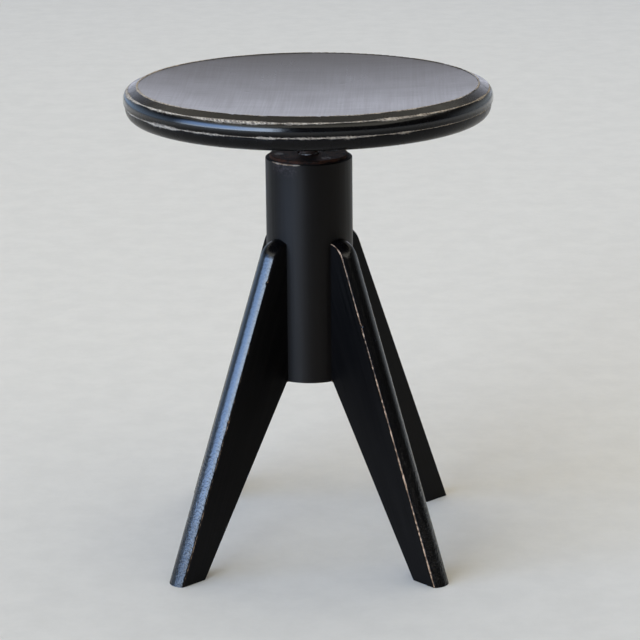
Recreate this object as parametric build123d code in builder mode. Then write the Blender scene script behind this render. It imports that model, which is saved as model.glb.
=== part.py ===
"""Screw-adjusted stool: a turned, dished seat on a steel screw, in a round wooden column with four plank legs.

Millimetres. +Z is up and the column's axis is the Z axis. The origin is on the floor, under the middle of the seat.
The legs stand at 45, 132, 226 and 314 degrees from +X, and the front is -Y.
"""

from build123d import *
from math import atan, cos, sin
import os

os.makedirs("parts", exist_ok=True)

# ---- driving dimensions ----

# column
column_radius = 41.5
column_bottom = 172.0
column_top = 386.0
column_bore_radius = 16.5
column_bore_floor = 182.0
column_edge_round = 0.9

# legs: planks that taper from the column to the foot
leg_thickness = 19.8
leg_flat_radius = 39.5  # the legs stand in shallow flats cut in the column
leg_top = 312.2
leg_foot_inner = 151.7
leg_foot_outer = 184.4
leg_heel = 41.2  # where the slanted inner edge starts, level with the column's bottom
leg_outer_slope = 0.419
leg_top_radius = 24.0
leg_crown_rise = 3.0  # the outer edge is a shallow curve across the plank
leg_arris = 0.8  # the bevel along the plank's edges
legs = {"front_left": 226, "front_right": 314, "back_left": 132, "back_right": 45}

# dowels, two in each leg
dowel_radius = 5.0
dowel_in_column = 17.5
dowel_in_leg = 21.0
dowel_heights = {"lower": 206.0, "upper": 274.0}

# top plate and the threaded bush under it
plate_radius = 37.5
plate_thickness = 3.0
plate_edge_chamfer = 0.5
plate_hole_radius = 10.8
plate_screw_circle = 28.5
plate_screw_count = 3
plate_screw_start = 67.0
bush_radius = 18.5
bush_length = 48.0
bush_bore_radius = 10.05
bush_chamfer = 1.0

# screw spindle, with its stop pin and its loose stop washer
spindle_radius = 10.0
spindle_bottom = 210.0
spindle_chamfer = 1.5
pin_radius = 2.5
pin_length = 29.0
pin_height = 218.0
pin_chamfer = 0.5
washer_outer_radius = 15.3
washer_inner_radius = 10.4
washer_thickness = 3.0
washer_gap = 0.3

# seat: pairs are a radius and a height on the edge moulding
seat_underside = 426.0
seat_radius = 175.0
seat_dish_bottom = 448.2
seat_dish_edge = (160.2, 456.5)
seat_bead_top = (161.4, 457.2)
seat_bead_edge = (162.6, 456.7)
seat_band_top = (171.5, 452.7)
seat_band_widest = 444.5
seat_band_bottom = (173.8, 439.4)
seat_band_step = 0.6
seat_corner_radius = 11.0
seat_arris_round = 0.5
seat_socket_depth = 12.0

# steel flange under the seat
flange_radius = 50.0
flange_thickness = 4.0
flange_edge_chamfer = 0.8
flange_boss_radius = 15.0
flange_boss_flare = 2.5
flange_boss_depth = 6.0
flange_screw_circle = 37.0
flange_screw_count = 4
flange_screw_start = 45.0

# countersunk wood screws with a straight slot
screw_head_radius = 4.6
screw_shank_radius = 2.3
screw_length = 20.0
screw_tip_length = 4.0
screw_slot_width = 1.2
screw_slot_depth = 1.1

# ---- planes and shared shapes ----

plate_top = column_top + plate_thickness
bush_bottom = column_top - bush_length
flange_bottom = seat_underside - flange_thickness
washer_bottom = pin_height + pin_radius + washer_gap
plate_face = Plane.XY.offset(plate_top)
flange_face = Plane(origin=(0, 0, flange_bottom), x_dir=(1, 0, 0), z_dir=(0, 0, -1))
countersink_height = screw_head_radius - screw_shank_radius


def countersunk_screws(face, circle_radius, count, start_angle):
    """A ring of slotted screws driven into a face, with their heads flush with it."""
    with BuildPart() as screws:
        with Locations(face):
            with PolarLocations(circle_radius, count, start_angle=start_angle):
                Cone(
                    bottom_radius=screw_shank_radius,
                    top_radius=screw_head_radius,
                    height=countersink_height,
                    align=(Align.CENTER, Align.CENTER, Align.MAX),
                )
                Cylinder(
                    radius=screw_shank_radius,
                    height=screw_length - screw_tip_length,
                    align=(Align.CENTER, Align.CENTER, Align.MAX),
                )
        with Locations(face.offset(screw_tip_length - screw_length)):
            with PolarLocations(circle_radius, count, start_angle=start_angle):
                Cone(
                    bottom_radius=screw_shank_radius / 4,
                    top_radius=screw_shank_radius,
                    height=screw_tip_length,
                    align=(Align.CENTER, Align.CENTER, Align.MAX),
                )
        with Locations(face):
            with PolarLocations(circle_radius, count, start_angle=start_angle):
                Box(
                    3 * screw_head_radius,
                    screw_slot_width,
                    2 * screw_slot_depth,
                    mode=Mode.SUBTRACT,
                )
    return screws


# ---- legs and their dowels ----

# the pattern leg stands along +X: a plank that is widest where it meets the column
leg_half = leg_thickness / 2
crown_half = leg_half - leg_arris
leg_corner = leg_foot_outer - leg_outer_slope * leg_top
crown_start = -20.0  # the crown is cut from below the foot to inside the column
crown_foot = (leg_foot_outer - leg_outer_slope * crown_start, crown_start)
crown_margin = 6.0
leg_lean = atan(leg_outer_slope)
dowel_places = [
    Plane(origin=(leg_flat_radius, 0, height), z_dir=(1, 0, 0)) for height in dowel_heights.values()
]


def is_inner_arris(edge):
    """Is this one of the two arrises of the pattern leg's slanted inner edge?"""
    middle = edge @ 0.5
    at_side = abs(abs(middle.Y) - leg_half) < 0.01
    return at_side and abs(middle.X - (leg_heel + leg_foot_inner) / 2) < 1


with BuildPart() as pattern_leg:
    with BuildSketch(Plane.XZ):
        with BuildLine():
            Polyline(
                (leg_flat_radius, column_bottom),
                (leg_heel, column_bottom),
                (leg_foot_inner, 0),
                (leg_foot_outer, 0),
                (leg_corner, leg_top),
                (leg_flat_radius, leg_top),
                close=True,
            )
        make_face()
    extrude(amount=leg_half, both=True)
    with BuildLine(Plane.XZ) as outer_edge:
        FilletPolyline(crown_foot, (leg_corner, leg_top), (0, leg_top), radius=leg_top_radius)
    crown_section = Plane(
        origin=(crown_foot[0], 0, crown_foot[1]),
        x_dir=(cos(leg_lean), 0, sin(leg_lean)),
        z_dir=(-sin(leg_lean), 0, cos(leg_lean)),
    )
    with BuildSketch(crown_section):
        with BuildLine():
            crown = ThreePointArc((-leg_crown_rise, -crown_half), (0, 0), (-leg_crown_rise, crown_half))
            Polyline(
                crown @ 1,
                (-leg_crown_rise - leg_arris, leg_half),
                (-leg_crown_rise - leg_arris, leg_half + crown_margin),
                (crown_margin, leg_half + crown_margin),
                (crown_margin, -leg_half - crown_margin),
                (-leg_crown_rise - leg_arris, -leg_half - crown_margin),
                (-leg_crown_rise - leg_arris, -leg_half),
                crown @ 0,
            )
        make_face()
    sweep(path=outer_edge.line, mode=Mode.SUBTRACT)
    chamfer(pattern_leg.edges().filter_by(is_inner_arris), length=leg_arris)
    with Locations(*dowel_places):
        Cylinder(
            radius=dowel_radius,
            height=dowel_in_leg,
            align=(Align.CENTER, Align.CENTER, Align.MIN),
            mode=Mode.SUBTRACT,
        )

joinery = []
for side, angle in legs.items():
    with BuildPart() as leg:
        add(pattern_leg.part.rotate(Axis.Z, angle))
    leg.part.label = "leg_" + side
    export_step(leg.part, f"parts/leg_{side}.step")
    joinery.append(leg.part)
    for (level, height), place in zip(dowel_heights.items(), dowel_places):
        with BuildPart(place.offset(-dowel_in_column)) as pattern_dowel:
            Cylinder(
                radius=dowel_radius,
                height=dowel_in_column + dowel_in_leg,
                align=(Align.CENTER, Align.CENTER, Align.MIN),
            )
        with BuildPart() as dowel:
            add(pattern_dowel.part.rotate(Axis.Z, angle))
        dowel.part.label = f"dowel_{side}_{level}"
        export_step(dowel.part, f"parts/dowel_{side}_{level}.step")
        joinery.append(dowel.part)

# ---- top plate, its screws and the threaded bush ----

top_plate_screws = countersunk_screws(
    plate_face, plate_screw_circle, plate_screw_count, plate_screw_start
)
top_plate_screws.part.label = "top_plate_screws"
export_step(top_plate_screws.part, "parts/top_plate_screws.step")

with BuildPart() as top_plate:
    with Locations((0, 0, column_top)):
        Cylinder(
            radius=plate_radius,
            height=plate_thickness,
            align=(Align.CENTER, Align.CENTER, Align.MIN),
        )
    chamfer(top_plate.edges().group_by(Axis.Z)[-1], length=plate_edge_chamfer)
    with Locations(plate_face):
        Hole(radius=plate_hole_radius)
        with PolarLocations(plate_screw_circle, plate_screw_count, start_angle=plate_screw_start):
            CounterSinkHole(screw_shank_radius, screw_head_radius, counter_sink_angle=90)
top_plate.part.label = "top_plate"
export_step(top_plate.part, "parts/top_plate.step")

with BuildPart() as thread_bush:
    with Locations((0, 0, bush_bottom)):
        Cylinder(
            radius=bush_radius,
            height=bush_length,
            align=(Align.CENTER, Align.CENTER, Align.MIN),
        )
    with Locations((0, 0, column_top)):
        Hole(radius=bush_bore_radius)
    chamfer(thread_bush.faces().sort_by(Axis.Z)[0].edges(), length=bush_chamfer)
thread_bush.part.label = "thread_bush"
export_step(thread_bush.part, "parts/thread_bush.step")

# ---- column ----

with BuildPart() as column:
    with Locations((0, 0, column_bottom)):
        Cylinder(
            radius=column_radius,
            height=column_top - column_bottom,
            align=(Align.CENTER, Align.CENTER, Align.MIN),
        )
    fillet(column.edges().filter_by(GeomType.CIRCLE), radius=column_edge_round)
    with Locations((0, 0, column_bore_floor)):
        Cylinder(
            radius=column_bore_radius,
            height=column_top - column_bore_floor,
            align=(Align.CENTER, Align.CENTER, Align.MIN),
            mode=Mode.SUBTRACT,
        )
    with Locations((0, 0, bush_bottom)):
        Cylinder(
            radius=bush_radius,
            height=bush_length,
            align=(Align.CENTER, Align.CENTER, Align.MIN),
            mode=Mode.SUBTRACT,
        )
    for piece in [*joinery, top_plate_screws.part]:
        add(piece, mode=Mode.SUBTRACT)
column.part.label = "column"
export_step(column.part, "parts/column.step")

# ---- screw spindle, stop pin and stop washer ----

spindle_top = seat_underside + seat_socket_depth
with BuildPart() as spindle:
    with Locations((0, 0, spindle_bottom)):
        Cylinder(
            radius=spindle_radius,
            height=spindle_top - spindle_bottom,
            align=(Align.CENTER, Align.CENTER, Align.MIN),
        )
    chamfer(spindle.edges().group_by(Axis.Z)[0], length=spindle_chamfer)
    with Locations((0, 0, pin_height)):
        Cylinder(
            radius=pin_radius,
            height=2 * spindle_radius,
            rotation=(0, 90, 0),
            mode=Mode.SUBTRACT,
        )
spindle.part.label = "spindle"
export_step(spindle.part, "parts/spindle.step")

with BuildPart() as stop_pin:
    with Locations((0, 0, pin_height)):
        Cylinder(radius=pin_radius, height=pin_length, rotation=(0, 90, 0))
    chamfer(stop_pin.edges().filter_by(GeomType.CIRCLE), length=pin_chamfer)
stop_pin.part.label = "stop_pin"
export_step(stop_pin.part, "parts/stop_pin.step")

with BuildPart() as stop_washer:
    with Locations((0, 0, washer_bottom)):
        Cylinder(
            radius=washer_outer_radius,
            height=washer_thickness,
            align=(Align.CENTER, Align.CENTER, Align.MIN),
        )
    with Locations((0, 0, washer_bottom + washer_thickness)):
        Hole(radius=washer_inner_radius)
stop_washer.part.label = "stop_washer"
export_step(stop_washer.part, "parts/stop_washer.step")

# ---- seat flange and its screws ----

seat_flange_screws = countersunk_screws(
    flange_face, flange_screw_circle, flange_screw_count, flange_screw_start
)
seat_flange_screws.part.label = "seat_flange_screws"
export_step(seat_flange_screws.part, "parts/seat_flange_screws.step")

with BuildPart() as seat_flange:
    with Locations((0, 0, seat_underside)):
        Cylinder(
            radius=flange_radius,
            height=flange_thickness,
            align=(Align.CENTER, Align.CENTER, Align.MAX),
        )
    chamfer(seat_flange.edges().group_by(Axis.Z)[0], length=flange_edge_chamfer)
    with Locations((0, 0, flange_bottom)):
        Cone(
            bottom_radius=flange_boss_radius,
            top_radius=flange_boss_radius + flange_boss_flare,
            height=flange_boss_depth,
            align=(Align.CENTER, Align.CENTER, Align.MAX),
        )
    with Locations((0, 0, seat_underside)):
        Hole(radius=spindle_radius)
    with Locations(flange_face):
        with PolarLocations(flange_screw_circle, flange_screw_count, start_angle=flange_screw_start):
            CounterSinkHole(screw_shank_radius, screw_head_radius, counter_sink_angle=90)
seat_flange.part.label = "seat_flange"
export_step(seat_flange.part, "parts/seat_flange.step")

# ---- seat ----

# the small step under the middle band, and where the rounded lower corner starts
step_inner = (seat_band_bottom[0] - seat_band_step, seat_band_bottom[1] - seat_band_step / 2)
corner_height = seat_underside + seat_corner_radius

with BuildPart() as seat:
    with BuildSketch(Plane.XZ):
        with BuildLine():
            dish = TangentArc((0, seat_dish_bottom), seat_dish_edge, tangent=(1, 0))
            bead = ThreePointArc(dish @ 1, seat_bead_top, seat_bead_edge)
            Line(bead @ 1, seat_band_top)
            ThreePointArc(seat_band_top, (seat_radius, seat_band_widest), seat_band_bottom)
            Line(seat_band_bottom, step_inner)
            Line(step_inner, (step_inner[0], corner_height))
            RadiusArc(
                (step_inner[0], corner_height),
                (step_inner[0] - seat_corner_radius, seat_underside),
                seat_corner_radius,
            )
            Line((step_inner[0] - seat_corner_radius, seat_underside), (0, seat_underside))
            Line((0, seat_underside), (0, seat_dish_bottom))
        make_face()
    revolve(axis=Axis.Z)
    band_arris = seat.edges().filter_by(GeomType.CIRCLE).group_by(Axis.Z)[-3]
    fillet(band_arris, radius=seat_arris_round)
    with Locations((0, 0, seat_underside)):
        Cylinder(
            radius=spindle_radius,
            height=seat_socket_depth,
            align=(Align.CENTER, Align.CENTER, Align.MIN),
            mode=Mode.SUBTRACT,
        )
    add(seat_flange_screws.part, mode=Mode.SUBTRACT)
seat.part.label = "seat"
export_step(seat.part, "parts/seat.step")
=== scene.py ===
"""Looks for the adjustable swivel stool: black lacquer worn through at its edges, a rusty plate,
a cut screw thread, and a plain pale studio with one large soft window on the left."""

import math

import bmesh
import bpy
from mathutils import Matrix, Vector


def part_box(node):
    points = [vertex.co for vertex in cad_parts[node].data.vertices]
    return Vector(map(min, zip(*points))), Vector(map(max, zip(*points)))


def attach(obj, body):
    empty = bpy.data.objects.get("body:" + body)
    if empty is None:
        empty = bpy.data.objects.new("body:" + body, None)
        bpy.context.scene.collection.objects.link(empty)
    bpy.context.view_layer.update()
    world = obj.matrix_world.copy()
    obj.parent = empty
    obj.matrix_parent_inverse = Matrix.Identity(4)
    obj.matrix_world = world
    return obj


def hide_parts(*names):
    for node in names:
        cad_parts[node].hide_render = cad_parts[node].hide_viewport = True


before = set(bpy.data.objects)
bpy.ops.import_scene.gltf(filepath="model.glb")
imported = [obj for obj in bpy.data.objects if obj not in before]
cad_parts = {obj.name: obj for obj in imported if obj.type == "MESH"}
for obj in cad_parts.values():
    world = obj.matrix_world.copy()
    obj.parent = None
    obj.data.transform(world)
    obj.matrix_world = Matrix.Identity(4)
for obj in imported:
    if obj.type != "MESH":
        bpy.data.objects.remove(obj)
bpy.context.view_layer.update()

# ---- places read from the CAD frame, in metres ----

seat_low, seat_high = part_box("seat")
column_low, column_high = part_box("column")
plate_low, plate_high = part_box("top_plate")
spindle_low, spindle_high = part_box("spindle")
flange_low, flange_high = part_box("seat_flange")

seat_radius = seat_high.x
seat_top = seat_high.z
column_radius = column_high.x
column_top = column_high.z

# ridges on the seat's edge moulding: radius and height
ridge_bead = (seat_radius - 0.0136, seat_top)
ridge_upper = (seat_radius - 0.0035, seat_top - 0.0045)
ridge_lower = (seat_radius - 0.0012, seat_top - 0.0178)
dish_radius = seat_radius - 0.0148

# the glossy middle band of the moulding fades in between these heights
band_start, band_full = seat_low.z + 0.0155, seat_low.z + 0.0195

# the side that is worn more, as a direction across the floor
seat_worn_towards = (-0.45, -0.89)
column_worn_towards = (-0.545, -0.839)

# the legs' outline in the plane of each plank: distance from the column's axis and height
leg_half = 0.0099
leg_foot_outer = 0.1844
leg_foot_inner = 0.1517
leg_heel = (0.0412, column_low.z)
leg_outer_slope = 0.419
leg_top = 0.3122
leg_top_radius = 0.024
leg_crown_rise = 0.003

# each leg's angle from +X in degrees, the side of the plank that is worn more, and how much it is worn
legs = {
    "front_left": (226, 1, 0.5),
    "front_right": (314, -1, 1.25),
    "back_left": (132, -1, 1.0),
    "back_right": (45, 1, 0.9),
}

# heights of the small nicks in the worn arrises
nicks = {"front_left": (0.275, 0.149), "front_right": (0.236,), "back_left": (0.19,), "back_right": (0.12,)}

# screw thread on the spindle
thread_pitch = 0.005
thread_depth = 0.0021
thread_inset = 0.00002
thread_chamfer = 0.0015
# it ends this far below the flange, and gets shallower over this height
runout_gap = 0.0125
runout_height = 0.004

# how finely noise is drawn out across and along the wood's grain
grain_across = 520.0
column_grain_along = 7
leg_grain_along = 9.0

# ---- colours, linear ----

LACQUER_BLACK = (0.0012, 0.0011, 0.0013, 1)
LACQUER_WARM = (0.0038, 0.0031, 0.0028, 1)
LACQUER_DUSTY = (0.036, 0.028, 0.030, 1)
COLUMN_SHEEN = (1.0, 0.92, 0.84, 1)
BARE_WOOD = (0.54, 0.455, 0.355, 1)
BARE_WOOD_WARM = (0.54, 0.355, 0.225, 1)
BARE_WOOD_DIRTY = (0.12, 0.098, 0.080, 1)
BARE_WOOD_DARK = (0.17, 0.095, 0.050, 1)
RUST_DARK = (0.006, 0.003, 0.002, 1)
RUST_MID = (0.050, 0.018, 0.009, 1)
RUST_LIGHT = (0.14, 0.062, 0.030, 1)
STEEL = (0.42, 0.40, 0.38, 1)
STEEL_DIRTY = (0.065, 0.048, 0.036, 1)
FLANGE_BLACK = (0.012, 0.012, 0.013, 1)
BEECH_DARK = (0.36, 0.24, 0.13, 1)
BEECH_PALE = (0.56, 0.41, 0.25, 1)
FLOOR_PALE = (0.74, 0.715, 0.67, 1)
FLOOR_SHADE = tuple(0.94 * c for c in FLOOR_PALE[:3]) + (1,)

# what surrounds the stool
ROOM = (0.018, 0.018, 0.019, 1)
WALL = (1.62, 1.67, 1.92, 1)
WALL_LEFT = (0.48, 0.66, 0.92, 1)
WALL_RIGHT = (0.40, 0.44, 0.47, 1)
CEILING = (0.10, 0.09, 0.083, 1)
WINDOW = (0.36, 0.57, 1.0, 1)
WINDOW_FRONT = (0.66, 0.80, 1.0, 1)
window_strength = 10.4
# degrees to the left of straight in front: the window's two edges, and where it is brightest
window_start, window_bright, window_end = 10.0, 35.0, 92.0
# in radians: how wide its two soft edges are, and where past its end it would be dimmest
window_start_soft, window_end_soft, window_dim_past = 0.24, 0.28, 0.05

# the panel overhead
PANEL_WHITE = (1.0, 0.96, 0.84)
panel_height, panel_back, panel_side, panel_radiance = 4.0, 0.5, 10.0, 1.02

floor_radius = 14.0
floor_drop = 0.0002

# the camera: focal length and frame in pixels, and the sensor's width in millimetres
camera_focal, camera_frame, camera_sensor = 2594.449, 640, 36.0


class Graph:
    """A node tree, with one short call for each kind of node."""

    def __init__(self, owner, output, shader, coordinates):
        owner.use_nodes = True
        self.owner = owner
        self.tree = owner.node_tree
        self.tree.nodes.clear()
        self.shader = self.tree.nodes.new(shader)
        self.tree.links.new(self.shader.outputs[0], self.tree.nodes.new(output).inputs[0])
        self.place = self.tree.nodes.new("ShaderNodeTexCoord").outputs[coordinates]
        split = self.tree.nodes.new("ShaderNodeSeparateXYZ")
        self.tree.links.new(self.place, split.inputs[0])
        self.x, self.y, self.z = split.outputs

    def put(self, socket, value):
        """Links value to the socket if it is a socket, and else sets it there."""
        if isinstance(value, bpy.types.NodeSocket):
            self.tree.links.new(value, socket)
        else:
            socket.default_value = value

    def math(self, operation, first, second=0.0):
        node = self.tree.nodes.new("ShaderNodeMath")
        node.operation = operation
        for socket, value in zip(node.inputs, (first, second)):
            self.put(socket, value)
        return node.outputs[0]

    def add(self, first, second):
        return self.math("ADD", first, second)

    def sub(self, first, second):
        return self.math("SUBTRACT", first, second)

    def mul(self, first, second):
        return self.math("MULTIPLY", first, second)

    def div(self, first, second):
        return self.math("DIVIDE", first, second)

    def most(self, first, second):
        return self.math("MAXIMUM", first, second)

    def distance(self, first, second):
        """The length of a 2-D offset."""
        return self.math("SQRT", self.add(self.mul(first, first), self.mul(second, second)))

    def facing(self, direction, radius):
        """1 on the side of the upright axis that a direction points to, and -1 on the far side."""
        return self.div(self.add(self.mul(self.x, direction[0]), self.mul(self.y, direction[1])), radius)

    def ease(self, value, start, end, low=0.0, high=1.0):
        """low where value is at start, high where it is at end, and smooth between them."""
        node = self.tree.nodes.new("ShaderNodeMapRange")
        node.interpolation_type = "SMOOTHSTEP"
        for socket, given in zip(node.inputs, (value, start, end, low, high)):
            self.put(socket, given)
        return node.outputs[0]

    def vector(self, x, y, z):
        node = self.tree.nodes.new("ShaderNodeCombineXYZ")
        for socket, value in zip(node.inputs, (x, y, z)):
            self.put(socket, value)
        return node.outputs[0]

    def changed_place(self, operation, values):
        node = self.tree.nodes.new("ShaderNodeVectorMath")
        node.operation = operation
        self.put(node.inputs[0], self.place)
        node.inputs[1].default_value = values
        return node.outputs[0]

    def stretched(self, sx, sy, sz):
        """The place times a scale for each axis."""
        return self.changed_place("MULTIPLY", (sx, sy, sz))

    def moved(self, seed):
        """The place, moved so that one noise differs from another."""
        return self.changed_place("ADD", (seed, seed * 0.7, seed * 1.3))

    def noise(self, vector, scale=1.0, detail=3.0, rough=0.55):
        node = self.tree.nodes.new("ShaderNodeTexNoise")
        node.inputs["Scale"].default_value = scale
        node.inputs["Detail"].default_value = detail
        node.inputs["Roughness"].default_value = rough
        self.put(node.inputs["Vector"], vector)
        return node.outputs["Fac"]

    def mix(self, share, first, second):
        node = self.tree.nodes.new("ShaderNodeMix")
        node.data_type = "RGBA"
        self.put(node.inputs[0], share)
        self.put(node.inputs[6], first)
        self.put(node.inputs[7], second)
        return node.outputs[2]

    def blend(self, share, first, second):
        """A number between first and second."""
        node = self.tree.nodes.new("ShaderNodeMix")
        self.put(node.inputs[0], share)
        self.put(node.inputs[2], first)
        self.put(node.inputs[3], second)
        return node.outputs[0]

    def bump(self, height, depth, strength=1.0, under=None):
        node = self.tree.nodes.new("ShaderNodeBump")
        node.inputs["Distance"].default_value = depth
        node.inputs["Strength"].default_value = strength
        self.put(node.inputs["Height"], height)
        if under is not None:
            self.put(node.inputs["Normal"], under)
        return node.outputs[0]

    def around(self):
        """The direction round the upright axis, for marks left by a lathe."""
        node = self.tree.nodes.new("ShaderNodeTangent")
        node.direction_type = "RADIAL"
        node.axis = "Z"
        return node.outputs[0]

    def finish(self, **values):
        for name, value in values.items():
            self.put(self.shader.inputs[name.replace("_", " ")], value)
        return self.owner


def surface(name):
    """An empty graph for a new material."""
    material = bpy.data.materials.new(name)
    return Graph(material, "ShaderNodeOutputMaterial", "ShaderNodeBsdfPrincipled", "Object")


def paint(node_name, material):
    """Gives a CAD node's object this material in each of its slots."""
    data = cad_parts[node_name].data
    if not data.materials:
        data.materials.append(material)
    for i in range(len(data.materials)):
        data.materials[i] = material


# ---- materials ----


def seat_lacquer():
    """Satin black lacquer, brushed across the dish, glossy on the moulding, worn along its ridges."""
    g = surface("seat_lacquer")
    radius = g.distance(g.x, g.y)
    top = g.ease(radius, dish_radius + 0.0015, dish_radius - 0.0015)

    grain = g.noise(g.stretched(9, 620, 300), detail=5, rough=0.62)
    brushed = g.noise(g.stretched(560, 7, 0), detail=4, rough=0.6)
    cloud = g.noise(g.place, scale=14, detail=3)
    dent = g.ease(g.noise(g.place, scale=75, detail=2, rough=0.4), 0.30, 0.20)

    bite = g.noise(g.place, scale=95, detail=3, rough=0.6)
    arc = g.mul(g.math("ARCTAN2", g.x, g.mul(g.y, -1.0)), seat_radius)
    slanted = g.add(g.mul(arc, 620.0), g.mul(g.z, 900.0))
    hatch = g.noise(g.vector(slanted, 0.0, g.mul(g.z, 260.0)), detail=3, rough=0.65)
    side = g.ease(g.facing(seat_worn_towards, radius), -0.9, 0.4, 0.3, 1.0)

    def worn_ridge(ridge, width, seed, broken):
        """1 where the lacquer is gone: within a ragged reach of the ridge, broken up by the hatching."""
        away = g.distance(g.sub(radius, ridge[0]), g.sub(g.z, ridge[1]))
        patches = g.noise(g.moved(seed), scale=22, detail=3, rough=0.6)
        reach = g.mul(g.ease(patches, 0.36, 0.66, 0.25, 1.0), side)
        reach = g.mul(reach, g.blend(0.55, 1.0, g.add(bite, bite)))
        inside = g.div(away, g.mul(reach, width))
        return g.ease(g.add(inside, g.mul(g.sub(hatch, 0.5), broken)), 1.05, 0.75)

    worn = worn_ridge(ridge_bead, 0.0018, 3.0, 1.6)
    worn = g.most(worn, worn_ridge(ridge_upper, 0.0023, 11.0, 3.4))
    worn = g.most(worn, worn_ridge(ridge_lower, 0.0019, 27.0, 4.2))

    tone = g.mix(g.ease(grain, 0.35, 0.75), LACQUER_BLACK, LACQUER_WARM)
    tone = g.mix(g.mul(top, g.ease(brushed, 0.3, 0.8, 0.1, 0.75)), tone, LACQUER_DUSTY)
    wood = g.mix(g.ease(hatch, 0.40, 0.60), BARE_WOOD_DIRTY, BARE_WOOD)
    tone = g.mix(worn, tone, wood)

    streaks = g.add(g.mul(grain, 0.45), g.mul(brushed, 0.55))
    satin = g.add(g.ease(streaks, 0.34, 0.66, 0.23, 0.30), g.mul(cloud, 0.10))
    gloss = g.ease(bite, 0.3, 0.7, 0.20, 0.30)
    rough = g.blend(top, gloss, satin)
    rough = g.blend(worn, rough, 0.75)
    below_ridge = g.ease(g.z, ridge_upper[1], ridge_upper[1] - 0.003)
    middle = g.mul(below_ridge, g.ease(g.z, band_start, band_full))
    outside = g.mul(middle, g.ease(radius, ridge_bead[0], ridge_upper[0]))
    coat = g.mul(g.mul(outside, g.sub(1.0, worn)), 0.85)

    height = g.add(g.mul(grain, 0.4), g.mul(brushed, 0.3))
    normal = g.bump(g.mul(height, g.blend(top, 0.15, 1.0)), 0.00022, 0.5)
    normal = g.bump(g.mul(dent, -1.0), 0.0004, 0.35, normal)
    normal = g.bump(g.mul(worn, -1.0), 0.00025, 0.6, normal)
    return g.finish(
        Base_Color=tone,
        Roughness=rough,
        Normal=normal,
        Specular_IOR_Level=g.blend(top, 0.16, 0.62),
        Coat_Weight=coat,
        Coat_Roughness=0.09,
        Coat_Normal=normal,
    )


def column_lacquer():
    """Satin lacquer over a turned post, with upright grain, matt on top and worn along part of its rim."""
    g = surface("column_lacquer")
    grain = g.noise(g.stretched(grain_across, grain_across, column_grain_along), detail=5, rough=0.6)
    broad = g.noise(g.stretched(60, 60, 4), detail=3)
    tone = g.mix(g.ease(grain, 0.35, 0.75), LACQUER_BLACK, LACQUER_WARM)
    radius = g.distance(g.x, g.y)
    facing = g.facing(column_worn_towards, radius)
    patches = g.noise(g.place, scale=60, detail=4, rough=0.6)
    specks = g.noise(g.place, scale=420, detail=3, rough=0.6)

    dust = g.mul(g.ease(facing, 0.90, 0.99), g.ease(g.z, column_top - 0.016, column_top - 0.002))
    tone = g.mix(g.mul(dust, g.ease(specks, 0.4, 0.7, 0.0, 0.9)), tone, LACQUER_DUSTY)

    away = g.distance(g.sub(radius, column_radius), g.sub(g.z, column_top))
    reach = g.mul(g.ease(facing, 0.90, 0.985, 0.0003, 0.0016), g.ease(patches, 0.35, 0.6, 0.4, 1.0))
    worn = g.ease(g.div(away, reach), 1.1, 0.7)
    tone = g.mix(worn, tone, g.mix(g.ease(patches, 0.4, 0.65), BARE_WOOD_DARK, BARE_WOOD))

    upper = g.ease(g.z, column_top - 0.0006, column_top - 0.0001)
    rough = g.add(g.ease(grain, 0.3, 0.7, 0.44, 0.56), g.mul(broad, 0.06))
    rough = g.blend(g.most(worn, upper), rough, 0.85)
    normal = g.bump(grain, 0.0002, 0.5)
    return g.finish(
        Base_Color=tone,
        Roughness=rough,
        Normal=normal,
        Specular_IOR_Level=0.25,
        Specular_Tint=COLUMN_SHEEN,
        Anisotropic=0.72,
        Anisotropic_Rotation=0.25,
        Tangent=g.around(),
    )


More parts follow.
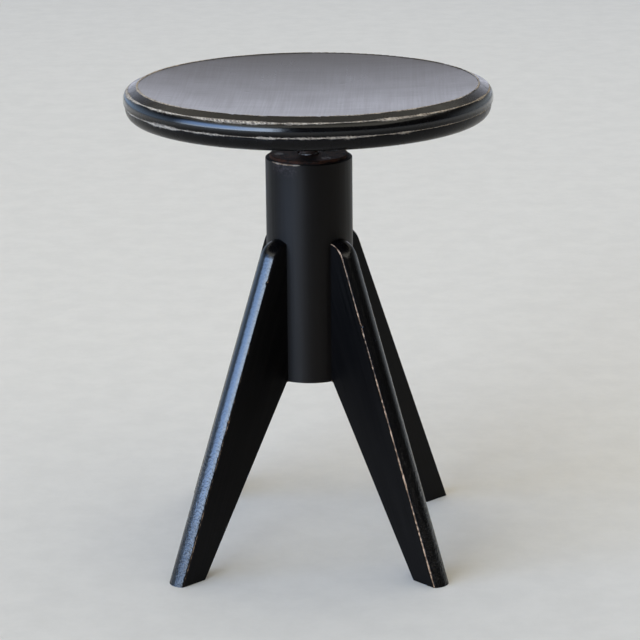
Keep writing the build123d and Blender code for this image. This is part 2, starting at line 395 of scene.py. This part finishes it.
def leg_lacquer(side):
    """Lacquer over long grain, glossy on the rounded outer edge, worn through along the arrises."""
    angle, worn_side, wear = legs[side]
    turned = math.radians(angle)
    g = surface("leg_lacquer_" + side)
    along = g.add(g.mul(g.x, math.cos(turned)), g.mul(g.y, math.sin(turned)))
    across = g.sub(g.mul(g.y, math.cos(turned)), g.mul(g.x, math.sin(turned)))
    lean = math.cos(math.atan(leg_outer_slope))

    # depth inside the outer outline: the straight edge, then the rounded top
    straight = g.mul(g.sub(g.sub(leg_foot_outer, g.mul(g.z, leg_outer_slope)), along), lean)
    centre_z = leg_top - leg_top_radius
    centre_u = leg_foot_outer - leg_outer_slope * centre_z - leg_top_radius / lean
    round_top = g.sub(leg_top_radius, g.distance(g.sub(along, centre_u), g.sub(g.z, centre_z)))
    turn = centre_z + leg_top_radius * math.sin(math.atan(leg_outer_slope))
    level = g.sub(leg_top, g.z)
    depth = g.blend(g.ease(g.z, turn - 0.0005, turn + 0.0005), straight, round_top)
    depth = g.blend(g.ease(along, centre_u + 0.0005, centre_u - 0.0005), depth, level)

    edge = g.sub(leg_half, g.math("ABSOLUTE", across))
    arris_depth = leg_crown_rise + 0.0002
    away = g.distance(edge, g.sub(depth, arris_depth))
    more = g.ease(g.mul(across, worn_side), -0.004, 0.004, 0.35, 1.0)
    lower = g.ease(g.z, 0.29, 0.10, 0.65 * wear, 1.15 * wear)
    patches = g.noise(g.moved(angle * 0.1), scale=30, detail=4, rough=0.62)
    bite = g.noise(g.place, scale=210, detail=3, rough=0.6)
    reach = g.add(g.ease(patches, 0.42, 0.74, 0.0004, 0.0009), g.mul(g.sub(bite, 0.5), 0.0009))
    reach = g.mul(g.mul(reach, more), lower)
    worn = g.ease(g.sub(away, reach), 0.0003, -0.0002)

    # the same along the inner edge, which runs from the heel down to the foot
    slope = (leg_foot_inner - leg_heel[0]) / (0.0 - leg_heel[1])
    inner = g.sub(g.sub(along, leg_heel[0]), g.mul(g.sub(g.z, leg_heel[1]), slope))
    inner = g.mul(inner, math.cos(math.atan(slope)))
    away_inner = g.distance(edge, inner)
    worn_inner = g.ease(g.sub(away_inner, g.mul(reach, 0.4)), 0.0003, -0.0001)
    worn = g.most(worn, worn_inner)

    nick = 0.0
    arris = g.distance(g.sub(g.mul(across, worn_side), leg_half), g.sub(depth, leg_crown_rise))
    for height in nicks[side]:
        far = g.distance(arris, g.mul(g.sub(g.z, height), 0.7))
        ragged = g.add(far, g.mul(g.sub(bite, 0.5), 0.001))
        nick = g.most(nick, g.ease(ragged, 0.0016, 0.0009))

    upright = g.add(along, g.mul(g.z, leg_outer_slope))
    drawn_out = g.vector(
        g.mul(across, grain_across), g.mul(upright, grain_across), g.mul(g.z, leg_grain_along)
    )
    grain = g.noise(drawn_out, detail=5, rough=0.6)
    on_crown = g.ease(depth, leg_crown_rise + 0.0008, leg_crown_rise - 0.0004)
    tone = g.mix(g.ease(grain, 0.35, 0.75), LACQUER_BLACK, LACQUER_WARM)
    wood = g.mix(g.ease(bite, 0.40, 0.62), BARE_WOOD_DARK, BARE_WOOD_WARM)
    tone = g.mix(worn, tone, wood)
    tone = g.mix(nick, tone, g.mix(g.ease(bite, 0.45, 0.55), LACQUER_BLACK, BARE_WOOD_DARK))
    side_rough = g.ease(grain, 0.3, 0.7, 0.28, 0.42)
    crown_rough = g.ease(bite, 0.3, 0.7, 0.26, 0.36)
    rough = g.blend(on_crown, side_rough, crown_rough)
    rough = g.blend(worn, rough, 0.75)

    # the gloss on the crown: none where bare, and thinner over the top, near the foot and at the arrises
    coat = g.mul(on_crown, g.mul(g.sub(1.0, worn), g.sub(1.0, nick)))
    coat = g.mul(coat, g.ease(g.z, turn + 0.008, turn + 0.001, 0.15, 1.0))
    coat = g.mul(coat, g.ease(g.z, 0.0, 0.09, 0.6, 1.0))
    coat = g.mul(coat, g.ease(depth, arris_depth, leg_crown_rise - 0.0003, 0.3, 1.0))

    orange_peel = g.noise(g.place, scale=430, detail=2)
    ripple = g.mul(g.ease(g.z, 0.22, 0.01, 1.6, 9.0), g.blend(on_crown, 0.04, 1.0))
    height = g.add(g.mul(grain, g.blend(on_crown, 0.6, 0.25)), g.mul(orange_peel, ripple))
    normal = g.bump(height, 0.0002, 0.45)
    normal = g.bump(g.mul(worn, -1.0), 0.0002, 0.5, normal)
    normal = g.bump(g.mul(nick, -1.0), 0.0008, 0.8, normal)
    return g.finish(
        Base_Color=tone,
        Roughness=rough,
        Normal=normal,
        Specular_IOR_Level=0.10,
        Coat_Weight=coat,
        Coat_Roughness=0.15,
        Coat_IOR=1.6,
        Coat_Normal=normal,
    )


def rusted_plate():
    """Dark rough rust with lighter specks."""
    g = surface("rusted_plate")
    patches = g.noise(g.place, scale=130, detail=6, rough=0.65)
    specks = g.noise(g.place, scale=900, detail=3, rough=0.6)
    tone = g.mix(g.ease(patches, 0.35, 0.62), RUST_DARK, RUST_MID)
    tone = g.mix(g.ease(specks, 0.56, 0.76), tone, RUST_LIGHT)
    rough = g.ease(specks, 0.3, 0.7, 0.55, 0.9)
    normal = g.bump(g.add(patches, g.mul(specks, 0.5)), 0.0004, 0.7)
    return g.finish(Base_Color=tone, Roughness=rough, Normal=normal, Specular_IOR_Level=0.15)


def screw_steel():
    """Old steel, mostly stained."""
    g = surface("screw_steel")
    stains = g.noise(g.place, scale=500, detail=4, rough=0.6)
    tone = g.mix(g.ease(stains, 0.20, 0.36), STEEL, STEEL_DIRTY)
    rough = g.ease(stains, 0.3, 0.7, 0.35, 0.65)
    normal = g.bump(stains, 0.0001, 0.5)
    return g.finish(Base_Color=tone, Roughness=rough, Metallic=0.7, Normal=normal)


def spindle_steel():
    """Bright thread crests, with old grease and rust in the roots."""
    g = surface("spindle_steel")
    radius = g.distance(g.x, g.y)
    stains = g.noise(g.place, scale=240, detail=5, rough=0.6)
    root = g.ease(radius, spindle_high.x - 0.0003, spindle_high.x - 0.0016)
    dirt = g.ease(g.add(g.mul(root, 0.55), g.mul(stains, 0.9)), 0.25, 0.65)
    tone = g.mix(dirt, STEEL, g.mix(g.ease(stains, 0.4, 0.6), STEEL_DIRTY, RUST_MID))
    rough = g.ease(dirt, 0.0, 1.0, 0.26, 0.62)
    metal = g.ease(dirt, 0.2, 1.0, 1.0, 0.35)
    scratch = g.noise(g.stretched(60, 60, 1500), detail=3)
    normal = g.bump(scratch, 0.00008, 0.5)
    return g.finish(Base_Color=tone, Roughness=rough, Metallic=metal, Normal=normal)


def flange_steel():
    """Black paint, chipped to rust."""
    g = surface("flange_steel")
    chips = g.noise(g.place, scale=170, detail=5, rough=0.65)
    chipped = g.ease(chips, 0.64, 0.68)
    tone = g.mix(chipped, FLANGE_BLACK, RUST_MID)
    rough = g.blend(chipped, g.ease(chips, 0.3, 0.6, 0.35, 0.48), 0.8)
    normal = g.bump(g.mul(chipped, -1.0), 0.00012, 0.6)
    return g.finish(Base_Color=tone, Roughness=rough, Normal=normal)


def dowel_wood():
    """Bare beech."""
    g = surface("dowel_wood")
    grain = g.noise(g.stretched(300, 300, 300), detail=4)
    tone = g.mix(g.ease(grain, 0.3, 0.7), BEECH_DARK, BEECH_PALE)
    return g.finish(Base_Color=tone, Roughness=0.7, Normal=g.bump(grain, 0.0001, 0.5))


# ---- pieces ----


def thread_profile(turned):
    """How deep the thread is cut, from 0 at a crest to 1 at a root, for a share of one pitch."""
    share = turned % 1.0
    crest, flank = 0.16, 0.32
    if share < crest:
        return 0.0
    if share < crest + flank:
        return (share - crest) / flank
    if share < 1.0 - flank:
        return 1.0
    return (1.0 - share) / flank


def threaded_spindle():
    """A right-hand thread cut in the spindle, running out below the flange, with a chamfered lower end."""
    outer = spindle_high.x - thread_inset
    bottom, top = spindle_low.z, spindle_high.z
    runout = flange_low.z - runout_gap
    around, rings_per_pitch = 64, 20
    step = thread_pitch / rings_per_pitch
    rings = int((top - bottom) / step)
    mesh = bmesh.new()
    rows = []
    for i in range(rings + 1):
        height = min(bottom + i * step, top)
        row = []
        for j in range(around):
            angle = 2 * math.pi * j / around
            cut = thread_profile(height / thread_pitch - j / around)
            fade = min(1.0, max(0.0, (runout - height) / runout_height))
            radius = outer - thread_depth * cut * fade
            radius = min(radius, outer - thread_chamfer + (height - bottom))
            row.append(mesh.verts.new((radius * math.cos(angle), radius * math.sin(angle), height)))
        rows.append(row)
    for lower, upper in zip(rows, rows[1:]):
        for j in range(around):
            k = (j + 1) % around
            mesh.faces.new((lower[j], lower[k], upper[k], upper[j]))
    mesh.faces.new(list(reversed(rows[0])))
    mesh.faces.new(rows[-1])
    data = bpy.data.meshes.new("threaded_spindle")
    mesh.to_mesh(data)
    mesh.free()
    for face in data.polygons:
        face.use_smooth = len(face.vertices) == 4
    data.set_sharp_from_angle(angle=math.radians(38))
    piece = bpy.data.objects.new("threaded_spindle", data)
    bpy.context.scene.collection.objects.link(piece)
    return piece


# ---- studio ----


def floor():
    """A plain pale floor, wide enough to fill every view."""
    mesh = bmesh.new()
    bmesh.ops.create_circle(mesh, cap_ends=True, segments=96, radius=floor_radius)
    data = bpy.data.meshes.new("studio_floor")
    mesh.to_mesh(data)
    mesh.free()
    g = surface("studio_floor")
    mottle = g.noise(g.place, scale=22, detail=6, rough=0.7)
    tone = g.mix(g.ease(mottle, 0.3, 0.7), FLOOR_PALE, FLOOR_SHADE)
    data.materials.append(g.finish(Base_Color=tone, Roughness=0.85))
    piece = bpy.data.objects.new("studio_floor", data)
    bpy.context.scene.collection.objects.link(piece)
    piece.location.z = -floor_drop


def soft_light(name, place, aim, size, radiance, colour):
    """An area light at one place that faces another."""
    data = bpy.data.lights.new(name, "AREA")
    data.shape = "RECTANGLE"
    data.size, data.size_y = size
    data.energy = radiance * math.pi * size[0] * size[1]
    data.color = colour
    light = bpy.data.objects.new(name, data)
    light.location = place
    light.rotation_euler = (Vector(place) - Vector(aim)).to_track_quat("Z", "Y").to_euler()
    bpy.context.scene.collection.objects.link(light)


def lights():
    """One wide, weak panel high overhead, so that the floor is evenly pale."""
    place, below = (0, panel_back, panel_height), (0, panel_back, 0)
    soft_light("overhead", place, below, (panel_side, panel_side), panel_radiance, PANEL_WHITE)


def surroundings():
    """What the lacquer mirrors: a dim room, a white wall behind and a soft cool window on the left."""
    world = bpy.data.worlds.new("studio")
    bpy.context.scene.world = world
    g = Graph(world, "ShaderNodeOutputWorld", "ShaderNodeBackground", "Generated")
    behind = g.mix(g.ease(g.x, 0.10, 0.45), WALL, WALL_RIGHT)
    behind = g.mix(g.ease(g.x, -0.12, -0.50), behind, WALL_LEFT)
    near = g.blend(g.ease(g.x, -0.3, 0.3), g.ease(g.y, -0.10, 0.10), g.ease(g.y, -0.05, 0.60))
    sides = g.mix(near, ROOM, behind)
    above = g.mix(g.ease(g.y, 0.30, 0.60), ROOM, CEILING)
    whole = g.mix(g.ease(g.z, 0.04, 0.52), sides, above)

    # the window: soft at its edges, brightest part of the way round, whiter towards the front and low down
    turned = g.math("ARCTAN2", g.mul(g.x, -1.0), g.mul(g.y, -1.0))
    start, bright, end = (math.radians(a) for a in (window_start, window_bright, window_end))
    dimmed = g.ease(turned, end + window_dim_past, bright, 0.45, 1.0)
    glow = g.mul(g.ease(turned, end, end - window_end_soft), dimmed)
    glow = g.mul(glow, g.ease(turned, start, start + window_start_soft))
    glow = g.mul(glow, g.mul(g.ease(g.z, -0.06, 0.01), g.ease(g.z, 0.60, 0.32)))
    shine = g.mul(glow, window_strength)
    lit = g.tree.nodes.new("ShaderNodeVectorMath")
    lit.operation = "MULTIPLY_ADD"
    g.put(lit.inputs[0], g.vector(shine, shine, shine))
    whiter = g.most(g.ease(g.x, -0.80, -0.30), g.ease(g.z, 0.19, 0.05))
    g.put(lit.inputs[1], g.mix(whiter, WINDOW, WINDOW_FRONT))
    g.put(lit.inputs[2], whole)
    g.finish(Color=lit.outputs[0], Strength=1.0)


def camera():
    """Looks down at the stool from the front with a long lens."""
    place = Vector((0.0844, -2.4174, 0.9137))
    heading, pitch, roll = math.radians(-1.783), math.radians(15.927), math.radians(-0.574)
    forward = Vector((
        math.sin(heading) * math.cos(pitch),
        math.cos(heading) * math.cos(pitch),
        -math.sin(pitch),
    ))
    right = Vector((math.cos(heading), -math.sin(heading), 0))
    up = right.cross(forward)
    tilted = right * math.cos(roll) + up * math.sin(roll)
    upward = up * math.cos(roll) - right * math.sin(roll)
    data = bpy.data.cameras.new("camera")
    data.sensor_width = camera_sensor
    data.lens = camera_focal / camera_frame * camera_sensor
    data.clip_start, data.clip_end = 0.05, 60.0
    piece = bpy.data.objects.new("camera", data)
    bpy.context.scene.collection.objects.link(piece)
    turn = Matrix((tilted, upward, -forward)).transposed().to_4x4()
    piece.matrix_world = Matrix.Translation(place) @ turn
    bpy.context.scene.camera = piece


# ---- build ----

paint("seat", seat_lacquer())
paint("column", column_lacquer())
dowel_material, screw_material = dowel_wood(), screw_steel()
for side in legs:
    paint("leg_" + side, leg_lacquer(side))
    for level in ("lower", "upper"):
        paint(f"dowel_{side}_{level}", dowel_material)
paint("top_plate", rusted_plate())
paint("top_plate_screws", screw_material)
paint("seat_flange", flange_steel())
paint("seat_flange_screws", screw_material)
steel = spindle_steel()
for name in ("thread_bush", "stop_pin", "stop_washer"):
    paint(name, steel)

spindle = threaded_spindle()
spindle.data.materials.append(steel)
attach(spindle, "seat_unit")
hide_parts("spindle")

floor()
surroundings()
lights()
camera()
bpy.context.scene.view_settings.view_transform = "Standard"
